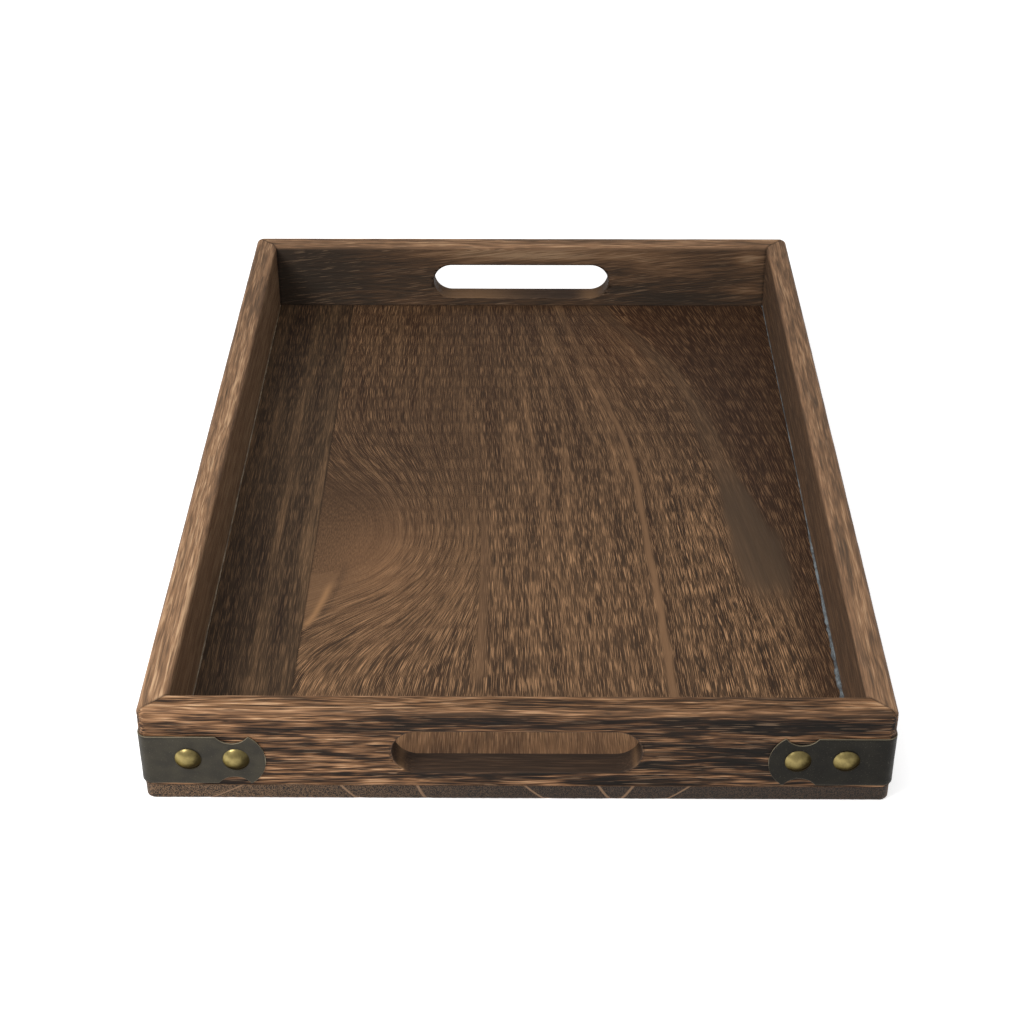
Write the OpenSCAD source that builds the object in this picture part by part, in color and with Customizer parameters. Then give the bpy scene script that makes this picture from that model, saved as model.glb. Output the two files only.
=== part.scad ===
// Wooden serving tray: four mitred rails standing on an edge-glued base panel.
// Each outside corner carries a bent sheet-metal strap held by four domed nails.
// Short walls (front and back) have a handle slot. +Y is the long way, +Z is up.
// Origin: middle of the underside. Millimetres.

/* [Tray] */
// Width across the outer faces of the long walls
tray_w = 305; // [260:1:360]
// Length across the outer faces of the short walls
tray_l = 432; // [360:1:500]
// Height from the surface it stands on to the top of the rails
tray_h = 46; // [44:1:60]
// Outside corner radius, seen from above
corner_r = 4; // [3.5:0.5:6]

/* [Rails] */
// Thickness of the rails
wall_t = 12; // [11:0.5:14]
// Rounding along the outer top edge
outer_edge_r = 3; // [1:0.5:3.5]
// Rounding along the inner top edge
inner_edge_r = 2.5; // [1:0.5:3.5]

/* [Base panel] */
// Thickness of the base boards
base_t = 8; // [6:0.5:10]
// How far the base edge sits inside the rail faces
base_inset = 0.3; // [0:0.1:0.6]
// Rounding along the bottom edge of the base
base_edge_r = 1.2; // [1:0.1:3.5]
// Where the glue line between the two base boards lies, across the tray
base_joint_x = -98; // [-105:1:-90]

/* [Handle slots] */
// Length of a handle slot, end to end
slot_w = 101; // [90:1:110]
// Height of a handle slot
slot_h = 20.6; // [18:0.2:21]
// Height of the front slot's middle above the underside
front_slot_z = 25.4; // [24:0.1:26]
// Height of the back slot's middle above the underside
back_slot_z = 23.4; // [23:0.1:26]

/* [Corner straps] */
// Sheet thickness of the straps
strap_t = 0.6; // [0.4:0.1:1]
// Height of a strap
strap_h = 24; // [22:0.5:24]
// Gap between the underside of the rails and the strap's lower edge
strap_lift = 1.2; // [0:0.1:2]
// Reach of a strap along each wall, from the outside corner
strap_leg = 51; // [48:0.5:56]
// Radius of the strap's round end
strap_end_r = 14.7; // [13:0.1:16]
// Radius of the two scoops behind the round end
scoop_r = 8; // [6:0.5:9]
// Depth of each scoop, measured from the strap's long edge
scoop_depth = 3.4; // [2:0.1:4]
// Distance from the outside corner to the middle of the scoops
scoop_at = 37.8; // [36:0.1:40]

/* [Domed nails] */
// Diameter of a nail's domed head
dome_d = 11; // [9:0.5:11.5]
// Height of the dome above the strap
dome_h = 2.5; // [2:0.1:3]
// Wall thickness of the pressed head
dome_wall = 0.5; // [0.4:0.1:0.7]
// Distance from the outside corner to the first nail, and from there to the second
nail_pitch = 19.5; // [18:0.5:20]
// Height of the nails above the strap's lower edge
nail_rise = 12.6; // [11:0.1:13]
// Diameter of a nail's shank
nail_shank_d = 2; // [1.6:0.1:2.4]
// Length of a nail under its head
nail_len = 9; // [7:0.5:10]

/* [Brads] */
// Diameter of a brad's shank
brad_d = 1.2; // [1:0.1:1.4]
// Length of the brads that pin the base to the rails
base_brad_len = 20; // [16:1:20]
// Length of the brads that pin the mitred corners
corner_brad_len = 25; // [20:1:25]
// Distance of the corner brads from the outer face of the end wall they enter
corner_brad_at = 7.5; // [7.2:0.1:8]
// Depth below the wood's surface at which a brad's head lies
brad_set = 0.8; // [0.3:0.1:1.2]
// Brads across the tray: distance of the inner and the outer ones from the middle
end_brads_at = [70, 120]; // [60:1:125]
// Brads along the tray: distance of the outer ones from the middle
side_brads_at = 140; // [100:1:150]

/* [Hidden] */
$fn = 96;

rail_colour = [0.36, 0.25, 0.17];
base_colour = [0.30, 0.21, 0.15];
strap_colour = [0.20, 0.19, 0.17];
brass_colour = [0.62, 0.54, 0.30];
steel_colour = [0.62, 0.63, 0.65];

over = 1;                                   // how far a cutter runs past a face
rail_h = tray_h - base_t;                   // height of a rail
rail_mid = wall_t / 2;                      // middle of a rail, from its outer face
strap_z = base_t + strap_lift;              // lower edge of the straps
strap_end_at = strap_leg - strap_end_r;     // middle of a strap's round end
scoop_rise = strap_h / 2 - scoop_depth + scoop_r;
nail_z = strap_z + nail_rise;
nail_clearance = 0.05;                      // round a shank in its pilot hole
strap_hole_clearance = 0.1;                 // round a shank in the strap
pilot_depth = nail_len - strap_t + 0.4;     // depth of a nail's pilot hole in a rail
dome_r = (pow(dome_d / 2, 2) + pow(dome_h, 2)) / (2 * dome_h);
nail_tip = 2.5;                             // length of a nail's point
brad_head_d = brad_d + 0.6;
brad_head_t = 0.4;
brad_tip = 1.5;
brad_clearance = 0.05;                      // round a brad in its hole
corner_brad_z = [strap_z + 5.4, strap_z + 18.4];

// ---- Placing ----

module flipped(axis, on) {
    if (on) mirror(axis) children();
    else children();
}

// Puts a corner's local frame in place: x and y run inwards along the two walls from
// the outside corner. side_x is -1 at the left, side_y is -1 at the front.
module at_corner(side_x, side_y) {
    translate([side_x * tray_w / 2, side_y * tray_l / 2, 0])
        flipped([1, 0, 0], side_x > 0)
            flipped([0, 1, 0], side_y > 0) children();
}

// Draws its children on both walls of a corner, swapping x and y for the second.
module on_both_walls() {
    children();
    mirror([1, -1, 0]) children();
}

// The middles of a corner's two nails on the wall along local x, outwards along z.
module at_wall_nails() {
    for (k = [1, 2]) translate([k * nail_pitch, 0, nail_z]) rotate([90, 0, 0]) children();
}

module at_corner_brads() {
    for (z = corner_brad_z) translate([0, corner_brad_at, z]) rotate([0, 90, 0]) children();
}

module at_end_brads(side_y) {
    for (side_x = [-1, 1], x = end_brads_at)
        translate([side_x * x, side_y * (tray_l / 2 - rail_mid), 0]) children();
}

module at_side_brads(side_x) {
    for (y = [-side_brads_at, 0, side_brads_at])
        translate([side_x * (tray_w / 2 - rail_mid), y, 0]) children();
}

// ---- Wood ----

// What a rounding of radius r takes off a square corner that lies at [r, r].
module corner_waste(r) {
    difference() {
        square(r + over);
        circle(r);
    }
}

// A rail's section: x runs inwards from the outer face, y is height.
module rail_section() {
    difference() {
        square([wall_t, rail_h]);
        translate([outer_edge_r, rail_h - outer_edge_r]) mirror([1, 0]) corner_waste(outer_edge_r);
        translate([wall_t - inner_edge_r, rail_h - inner_edge_r]) corner_waste(inner_edge_r);
    }
}

// The plan of a rail along X whose outer face is at y = -reach: mitred at both ends,
// with half of each rounded outside corner.
module rail_plan(span, reach) {
    straight = span / 2 - corner_r;
    intersection() {
        union() {
            translate([-straight, -reach]) square([2 * straight, wall_t]);
            translate([-span / 2, corner_r - reach]) square([span, wall_t]);
            for (end = [-1, 1]) translate([end * straight, corner_r - reach]) circle(corner_r);
        }
        polygon([
            [-span / 2, -reach], [span / 2, -reach],
            [span / 2 - wall_t, wall_t - reach], [wall_t - span / 2, wall_t - reach]
        ]);
    }
}

module rail(span, reach) {
    intersection() {
        translate([-span / 2 - over, -reach, base_t]) rotate([90, 0, 90])
            linear_extrude(span + 2 * over) rail_section();
        translate([0, 0, base_t]) linear_extrude(rail_h) rail_plan(span, reach);
    }
}

// A through slot with round ends, cut along Y through a wall at the front or back.
module handle_slot(side_y) {
    straight = (slot_w - slot_h) / 2;
    wall_mid_y = side_y * (tray_l / 2 - rail_mid);
    translate([0, wall_mid_y, side_y < 0 ? front_slot_z : back_slot_z]) {
        cube([2 * straight, wall_t + 2 * over, slot_h], center = true);
        for (side = [-1, 1]) translate([side * straight, 0, 0]) rotate([90, 0, 0])
            cylinder(d = slot_h, h = wall_t + 2 * over, center = true);
    }
}

module nail_pilot() {
    translate([0, 0, -pilot_depth]) cylinder(d = nail_shank_d + 2 * nail_clearance, h = pilot_depth + over);
}

module brad_hole(length) {
    translate([0, 0, -over])
        cylinder(d = brad_head_d + 2 * brad_clearance, h = over + brad_set + brad_head_t);
    cylinder(d = brad_d + 2 * brad_clearance, h = brad_set + length + 0.2);
}

// All the holes in the rails and the base, for the fasteners that hold them.
module end_rail_holes(side_y) {
    for (side_x = [-1, 1]) at_corner(side_x, side_y) {
        at_wall_nails() nail_pilot();
        at_corner_brads() brad_hole(corner_brad_len);
    }
    at_end_brads(side_y) brad_hole(base_brad_len);
}

module side_rail_holes(side_x) {
    for (side_y = [-1, 1]) at_corner(side_x, side_y) {
        mirror([1, -1, 0]) at_wall_nails() nail_pilot();
        at_corner_brads() brad_hole(corner_brad_len);
    }
    at_side_brads(side_x) brad_hole(base_brad_len);
}

module base_holes() {
    for (side = [-1, 1]) {
        at_end_brads(side) brad_hole(base_brad_len);
        at_side_brads(side) brad_hole(base_brad_len);
    }
}

module end_rail(side_y) {
    color(rail_colour) difference() {
        rotate([0, 0, side_y > 0 ? 180 : 0]) rail(tray_w, tray_l / 2);
        handle_slot(side_y);
        end_rail_holes(side_y);
    }
}

module side_rail(side_x) {
    color(rail_colour) difference() {
        rotate([0, 0, side_x * 90]) rail(tray_l, tray_w / 2);
        side_rail_holes(side_x);
    }
}

module base_edge_section() {
    difference() {
        square([corner_r, base_t]);
        translate([corner_r - base_edge_r, base_edge_r]) mirror([0, 1]) corner_waste(base_edge_r);
    }
}

// The whole base panel, rounded along its bottom edge and at its four corners.
module base_panel() {
    half_w = tray_w / 2 - base_inset - corner_r;
    half_l = tray_l / 2 - base_inset - corner_r;
    translate([-half_w, -half_l, 0]) cube([2 * half_w, 2 * half_l, base_t]);
    for (turn = [0, 180]) rotate([0, 0, turn]) {
        translate([half_w, half_l, 0]) rotate([90, 0, 0])
            linear_extrude(2 * half_l) base_edge_section();
        translate([-half_w, half_l, 0]) rotate([90, 0, 90])
            linear_extrude(2 * half_w) base_edge_section();
        translate([half_w, half_l, 0]) rotate_extrude(angle = 90) base_edge_section();
        translate([-half_w, half_l, 0]) rotate([0, 0, 90])
            rotate_extrude(angle = 90) base_edge_section();
    }
}

// One board of the base panel, between two positions across the tray.
module base_board(from_x, to_x) {
    color(base_colour) difference() {
        intersection() {
            base_panel();
            translate([from_x, -tray_l / 2, -over]) cube([to_x - from_x, tray_l, base_t + 2 * over]);
        }
        base_holes();
    }
}

// ---- Corner straps ----

// One leg of a strap, flat: x runs from the outside corner, y is height.
module strap_outline() {
    difference() {
        intersection() {
            union() {
                translate([corner_r, 0]) square([strap_end_at - corner_r, strap_h]);
                translate([strap_end_at, strap_h / 2]) circle(strap_end_r);
            }
            translate([corner_r, 0]) square([strap_leg, strap_h]);
        }
        for (side = [-1, 1]) translate([scoop_at, strap_h / 2 + side * scoop_rise]) circle(scoop_r);
        for (k = [1, 2]) translate([k * nail_pitch, nail_rise])
            circle(d = nail_shank_d + 2 * strap_hole_clearance);
    }
}

module corner_strap() {
    on_both_walls() translate([0, 0, strap_z]) rotate([90, 0, 0])
        linear_extrude(strap_t) strap_outline();
    translate([corner_r, corner_r, strap_z]) rotate([0, 0, 180]) rotate_extrude(angle = 90)
        translate([corner_r, 0]) square([strap_t, strap_h]);
}

// ---- Fasteners ----

// A domed nail along z: the rim of its hollow head lies at z = 0, its point below.
module domed_nail() {
    rotate_extrude() {
        intersection() {
            difference() {
                translate([0, dome_h - dome_r]) circle(dome_r);
                translate([0, dome_h - dome_r]) circle(dome_r - dome_wall);
            }
            square([dome_d, dome_h + over]);
        }
        polygon([
            [0, dome_h - dome_wall / 2], [nail_shank_d / 2, dome_h - dome_wall],
            [nail_shank_d / 2, nail_tip - nail_len], [0, -nail_len]
        ]);
    }
}

// A brad along z: its head starts at the set depth and its point is at the far end.
module brad(length) {
    translate([0, 0, brad_set]) rotate_extrude() polygon([
        [0, 0], [brad_head_d / 2, 0], [brad_head_d / 2, brad_head_t], [brad_d / 2, brad_head_t],
        [brad_d / 2, length - brad_tip], [0, length]
    ]);
}

module corner_nails() {
    on_both_walls() translate([0, -strap_t, 0]) at_wall_nails() domed_nail();
}

module strap_at(side_x, side_y) {
    color(strap_colour) at_corner(side_x, side_y) corner_strap();
}

module nails_at(side_x, side_y) {
    color(brass_colour) at_corner(side_x, side_y) corner_nails();
}

module corner_brads_at(side_x, side_y) {
    color(steel_colour) at_corner(side_x, side_y) at_corner_brads() brad(corner_brad_len);
}

// ---- Nodes ----

module front_rail() { end_rail(-1); }
module back_rail() { end_rail(1); }
module left_rail() { side_rail(-1); }
module right_rail() { side_rail(1); }
module base_board_left() { base_board(-tray_w / 2, base_joint_x); }
module base_board_right() { base_board(base_joint_x, tray_w / 2); }
module corner_strap_front_left() { strap_at(-1, -1); }
module corner_strap_front_right() { strap_at(1, -1); }
module corner_strap_back_left() { strap_at(-1, 1); }
module corner_strap_back_right() { strap_at(1, 1); }
module strap_nails_front_left() { nails_at(-1, -1); }
module strap_nails_front_right() { nails_at(1, -1); }
module strap_nails_back_left() { nails_at(-1, 1); }
module strap_nails_back_right() { nails_at(1, 1); }
module corner_brads_front_left() { corner_brads_at(-1, -1); }
module corner_brads_front_right() { corner_brads_at(1, -1); }
module corner_brads_back_left() { corner_brads_at(-1, 1); }
module corner_brads_back_right() { corner_brads_at(1, 1); }
module base_brads_front() { color(steel_colour) at_end_brads(-1) brad(base_brad_len); }
module base_brads_back() { color(steel_colour) at_end_brads(1) brad(base_brad_len); }
module base_brads_left() { color(steel_colour) at_side_brads(-1) brad(base_brad_len); }
module base_brads_right() { color(steel_colour) at_side_brads(1) brad(base_brad_len); }

front_rail();
back_rail();
left_rail();
right_rail();
base_board_left();
base_board_right();
corner_strap_front_left();
corner_strap_front_right();
corner_strap_back_left();
corner_strap_back_right();
strap_nails_front_left();
strap_nails_front_right();
strap_nails_back_left();
strap_nails_back_right();
corner_brads_front_left();
corner_brads_front_right();
corner_brads_back_left();
corner_brads_back_right();
base_brads_front();
base_brads_back();
base_brads_left();
base_brads_right();
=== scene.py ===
"""Looks of the wooden serving tray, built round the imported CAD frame.

Lengths are millimetres until a mesh is made, which turns them into metres.
"""
import math
from typing import NamedTuple

import bpy
import numpy as np
from mathutils import Matrix, Vector


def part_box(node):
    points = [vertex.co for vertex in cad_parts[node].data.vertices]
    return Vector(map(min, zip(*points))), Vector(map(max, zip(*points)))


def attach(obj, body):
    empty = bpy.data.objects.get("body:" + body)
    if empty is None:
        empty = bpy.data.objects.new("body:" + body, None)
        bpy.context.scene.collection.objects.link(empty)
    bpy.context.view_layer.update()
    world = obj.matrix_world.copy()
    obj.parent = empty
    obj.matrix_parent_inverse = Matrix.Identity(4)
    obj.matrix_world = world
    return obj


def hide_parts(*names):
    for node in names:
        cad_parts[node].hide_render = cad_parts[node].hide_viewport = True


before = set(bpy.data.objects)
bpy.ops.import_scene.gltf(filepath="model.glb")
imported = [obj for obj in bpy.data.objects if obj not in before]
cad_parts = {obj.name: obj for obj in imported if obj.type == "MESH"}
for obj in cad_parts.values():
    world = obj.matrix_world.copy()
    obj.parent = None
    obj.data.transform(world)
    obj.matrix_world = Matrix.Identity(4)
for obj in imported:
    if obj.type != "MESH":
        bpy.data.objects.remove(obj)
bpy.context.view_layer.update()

MM = 0.001


# ---- sizes from the frame

def box_mm(node):
    """Lowest and highest corner of a CAD node, in millimetres."""
    low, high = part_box(node)
    return np.array(low) / MM, np.array(high) / MM


def slot_size(node, half_width=60.0, above_base=2.0, below_top=5.0):
    """Length, height and middle height of a rail's handle slot, read off the mesh near its middle."""
    x, _, z = points = np.array([v.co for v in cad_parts[node].data.vertices]).T / MM
    near = points.T[(abs(x) < half_width) & (z > BASE_T + above_base) & (z < TRAY_H - below_top)]
    low, high = near.min(0), near.max(0)
    return high[0] - low[0], high[2] - low[2], (high[2] + low[2]) / 2


front_low, front_high = box_mm("front_rail")
TRAY_L = -2 * front_low[1]
TRAY_W = -2 * box_mm("left_rail")[0][0]
BASE_T, TRAY_H = front_low[2], front_high[2]
WALL_T = front_high[1] - front_low[1]
BASE_LOW, BASE_HIGH = box_mm("base_board_left")[0], box_mm("base_board_right")[1]
JOINT_X = box_mm("base_board_left")[1][0]
SLOT_W, SLOT_H, FRONT_SLOT_Z = slot_size("front_rail")
BACK_SLOT_Z = slot_size("back_rail")[2]

CORNER_R = 4.0          # outside corner, in plan
OUTER_EDGE_R = 3.0      # outer top edge of a rail
INNER_EDGE_R = 2.5      # inner top edge of a rail
BASE_EDGE_R = 1.2       # bottom edge of the base
SLOT_EDGE_R = 0.7       # eased edge round a handle slot
HALF_BEND = math.pi / 4 * CORNER_R      # from the middle of a corner's bend to where it ends


# ---- noise

class Noise:
    """Seeded smooth noise over points, from -1 to 1."""

    def __init__(self, seed):
        random = np.random.default_rng(seed)
        self.size = 4096
        self.order = random.permutation(self.size)
        self.values = random.uniform(-1, 1, self.size)

    def at(self, *coordinates):
        """Noise at the points whose coordinates, up to three, are in units of one lump."""
        p = np.stack(np.broadcast_arrays(*coordinates, *[0.0] * (3 - len(coordinates))), -1).astype(float)
        cell = np.floor(p).astype(int)
        f = p - cell
        f = f * f * (3 - 2 * f)
        total = 0
        for corner in range(8):
            step = np.array([corner & 1, corner >> 1 & 1, corner >> 2])
            at = cell + step
            h = self.order[at[..., 0] % self.size]
            h = self.order[(h + at[..., 1]) % self.size]
            h = self.order[(h + at[..., 2]) % self.size]
            weight = np.where(step, f, 1 - f).prod(-1)
            total = total + weight * self.values[h]
        return total

    def layers(self, *coordinates, octaves=3):
        """Several octaves, each half as strong and twice as fine."""
        total, scale = 0, 0
        for k in range(octaves):
            strength = 0.5 ** k
            moved = [c * 2 ** k + 17.3 * k for c in coordinates]
            total, scale = total + strength * self.at(*moved), scale + strength
        return total / scale


def smooth(low, high, x):
    t = np.clip((x - low) / (high - low), 0, 1)
    return t * t * (3 - 2 * t)


def bump_at(x, y, middle, spread):
    """A round patch that fades from 1 at its middle."""
    return np.exp(-((x - middle[0]) / spread[0]) ** 2 - ((y - middle[1]) / spread[1]) ** 2)


# ---- meshes

def new_mesh(name, points, faces):
    """A mesh in metres from points in millimetres, turned right side out."""
    mesh = bpy.data.meshes.new(name)
    mesh.from_pydata((np.asarray(points) * MM).tolist(), [], faces)
    mesh.update()
    mesh.calc_loop_triangles()
    corners = np.zeros(len(mesh.loop_triangles) * 3, int)
    mesh.loop_triangles.foreach_get("vertices", corners)
    a, b, c = (np.asarray(points)[corners.reshape(-1, 3)[:, k]] for k in range(3))
    if np.einsum("ij,ij->i", a, np.cross(b, c)).sum() < 0:
        mesh.flip_normals()
    shade_smooth(mesh)
    return mesh


def shade_smooth(mesh):
    mesh.polygons.foreach_set("use_smooth", [True] * len(mesh.polygons))


def new_object(name, data):
    made = bpy.data.objects.new(name, data)
    bpy.context.scene.collection.objects.link(made)
    return made


def add_piece(name, mesh, material, node=None):
    """A piece that rides on the tray, and stands for a CAD node where one is named."""
    piece = new_object(name, mesh)
    mesh.materials.append(material)
    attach(piece, "root")
    if node:
        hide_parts(node)


def points_of(mesh):
    co = np.zeros(len(mesh.vertices) * 3)
    mesh.vertices.foreach_get("co", co)
    return co.reshape(-1, 3) / MM


def normals_of(mesh):
    n = np.zeros(len(mesh.vertices) * 3, np.float32)
    mesh.vertex_normals.foreach_get("vector", n)
    return n.reshape(-1, 3).astype(float)


def set_points(mesh, points):
    mesh.vertices.foreach_set("co", (np.asarray(points) * MM).astype(np.float32).ravel())
    mesh.update()


def add_values(mesh, name, values):
    """A number for each vertex, which the materials read by name."""
    made = mesh.attributes.new(name, "FLOAT", "POINT")
    made.data.foreach_set("value", np.broadcast_to(values, len(mesh.vertices)).astype(np.float32))


def add_vectors(mesh, name, *columns):
    """Three numbers for each vertex."""
    made = mesh.attributes.new(name, "FLOAT_VECTOR", "POINT")
    stacked = np.stack(np.broadcast_arrays(*columns), -1).astype(np.float32)
    made.data.foreach_set("vector", stacked.ravel())


def tube_faces(first, rows, around, flip=False):
    """Faces between rings of points, where the first ring starts at point number first."""
    faces = []
    for a in range(first, first + (rows - 1) * around, around):
        for j in range(around):
            k, b = (j + 1) % around, a + around
            face = (a + j, a + k, b + k, b + j)
            faces.append(face[::-1] if flip else face)
    return faces


def stitched(columns):
    """Points and faces of a closed skin through equal closed loops, one for each column."""
    count, size = len(columns), len(columns[0])
    faces = tube_faces(0, count, size)
    faces.append(tuple(range(size)))
    faces.append(tuple(range(count * size - 1, (count - 1) * size - 1, -1)))
    return np.concatenate(columns), faces


def spaced(start, end, step):
    """Even positions from start to end, no further apart than step."""
    return np.linspace(start, end, max(2, int(math.ceil(abs(end - start) / step)) + 1))


def arc(middle, radius, start, end, count):
    """Points on an arc between two angles in degrees."""
    angles = np.radians(np.linspace(start, end, count))
    return np.stack([middle[0] + radius * np.cos(angles), middle[1] + radius * np.sin(angles)], 1)


# ---- rails

FACE_STEP = 0.36        # mesh spacing across the grain
ALONG_STEP = 2.6        # mesh spacing along the grain
SEAM_COLUMNS = (0, 0.25, 0.6, 1.1, 1.8, 2.6, 3.6, 4.8, 6.2)     # mesh positions in from a mitre
SEAM_GAP = 0.05         # between a rail's end and the mitre's middle
SEAM_GROOVE = 0.14      # depth of the groove along a mitre
GRAIN_WAVE = 1.4        # how far the rails' grain wanders


def rail_section():
    """The section's outline: depth from the outer face, and height."""
    top, inner = TRAY_H, WALL_T
    up = spaced(BASE_T, top - OUTER_EDGE_R, FACE_STEP)
    across = spaced(OUTER_EDGE_R, inner - INNER_EDGE_R, FACE_STEP)
    down = spaced(top - INNER_EDGE_R, BASE_T, FACE_STEP)
    under = spaced(inner, 0, 3)
    parts = [
        np.stack([0 * up, up], 1),
        arc((OUTER_EDGE_R, top - OUTER_EDGE_R), OUTER_EDGE_R, 180, 90, 13)[1:-1],
        np.stack([across, 0 * across + top], 1),
        arc((inner - INNER_EDGE_R, top - INNER_EDGE_R), INNER_EDGE_R, 90, 0, 11)[1:-1],
        np.stack([0 * down + inner, down], 1),
        np.stack([under, 0 * under + BASE_T], 1)[1:-1],
    ]
    return np.concatenate(parts)


def half_path(depth, span):
    """Half the rail's length at each depth, measured round the outside corner's bend."""
    straight = span / 2 - CORNER_R
    return np.where(depth < CORNER_R, straight + math.pi / 4 * (CORNER_R - depth), span / 2 - depth)


def rail_blank(span, reach):
    """A rail along X, mitred at both ends, whose outer face is at y = -reach."""
    section = rail_section()
    depth, height = section[:, 0], section[:, 1]
    straight = span / 2 - CORNER_R
    longest = half_path(0.0, span)
    inner = longest - SEAM_COLUMNS[-1]
    middle = spaced(-inner, inner, ALONG_STEP)
    ends = longest - np.array(SEAM_COLUMNS[:-1])
    stations = np.concatenate([-ends, middle, ends[::-1]])
    columns = []
    for station in stations:
        s = station / longest * (half_path(depth, span) - SEAM_GAP)
        bend_r = np.maximum(CORNER_R - depth, 1e-6)
        turn = np.where(depth < CORNER_R, np.clip((abs(s) - straight) / bend_r, 0, math.pi / 4), 0)
        bent = turn > 0
        x = np.where(bent, straight + bend_r * np.sin(turn), abs(s)) * np.sign(s)
        y = np.where(bent, CORNER_R - bend_r * np.cos(turn), depth) - reach
        columns.append(np.stack([x, y, height], 1))
    return stitched(columns)


def slot_cutter(reach, slot_z):
    """A plug the shape of the handle slot, flared where the slot's edges are eased."""
    straight, radius = (SLOT_W - SLOT_H) / 2, SLOT_H / 2
    ease = [(SLOT_EDGE_R * (1 - math.sin(a)), SLOT_EDGE_R * (1 - math.cos(a)))
            for a in np.radians(np.linspace(84, 0, 7))]
    near = [(-1.0, ease[0][1])] + ease
    inside = [(w, 0.0) for w in spaced(SLOT_EDGE_R, WALL_T - SLOT_EDGE_R, 1.5)[1:-1]]
    far = [(WALL_T - w, extra) for w, extra in reversed(near)]
    columns = []
    for w, extra in near + inside + far:
        r = radius + extra
        line = spaced(-straight, straight, 2.5)[1:-1]
        outline = np.concatenate([
            arc((straight, slot_z), r, -90, 90, 25),
            np.stack([line[::-1], 0 * line + slot_z + r], 1),
            arc((-straight, slot_z), r, 90, 270, 25),
            np.stack([line, 0 * line + slot_z - r], 1),
        ])
        columns.append(np.stack([outline[:, 0], 0 * outline[:, 0] - reach + w, outline[:, 1]], 1))
    return stitched(columns)


def cut(mesh, cutter_points, cutter_faces):
    """The mesh with the cutter's shape taken out of it."""
    body = new_object("blank", mesh)
    tool = new_object("cutter", new_mesh("cutter", cutter_points, cutter_faces))
    modifier = body.modifiers.new("cut", "BOOLEAN")
    modifier.operation, modifier.solver, modifier.object = "DIFFERENCE", "EXACT", tool
    graph = bpy.context.evaluated_depsgraph_get()
    made = bpy.data.meshes.new_from_object(body.evaluated_get(graph))
    bpy.data.objects.remove(body)
    bpy.data.objects.remove(tool)
    return made


class RailStyle(NamedTuple):
    """How one rail's grain differs from the others.

    Patches on the outer and inner faces are (middle, spread, tone), and bare patches in the slot are
    (middle, spread), each pair along the rail and up.
    """

    seed: int
    relief: float
    top_tone: float
    contrast: float
    upper_calm: float = 0.0
    inner_tone: float = -0.2
    slant: float = 0.0
    pale_top: float = 1.0
    outer: tuple = ()
    inner: tuple = ()
    in_slot: tuple = ()


def rail_relief(x, depth, height, style):
    """Brushed grain: how far each point stands, from 0 in a groove to 1 on a ridge."""
    noise = Noise(style.seed)
    wave = GRAIN_WAVE * (noise.at(x / 55, 3.1) + 0.5 * noise.at(x / 17, 9.4))
    a, b = depth + wave * 0.6, height + wave
    broad = noise.layers(x / 46, a / 2.6, b / 2.6, octaves=2)
    fine = noise.layers(x / 14, a / 0.85 + 7, b / 0.85 + 3, octaves=2)
    dashes = noise.at(x / 7 + 30, a / 0.8, b / 0.8)
    return smooth(-0.75, 0.65, 0.55 * broad + 0.75 * fine + 0.35 * dashes)


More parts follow.
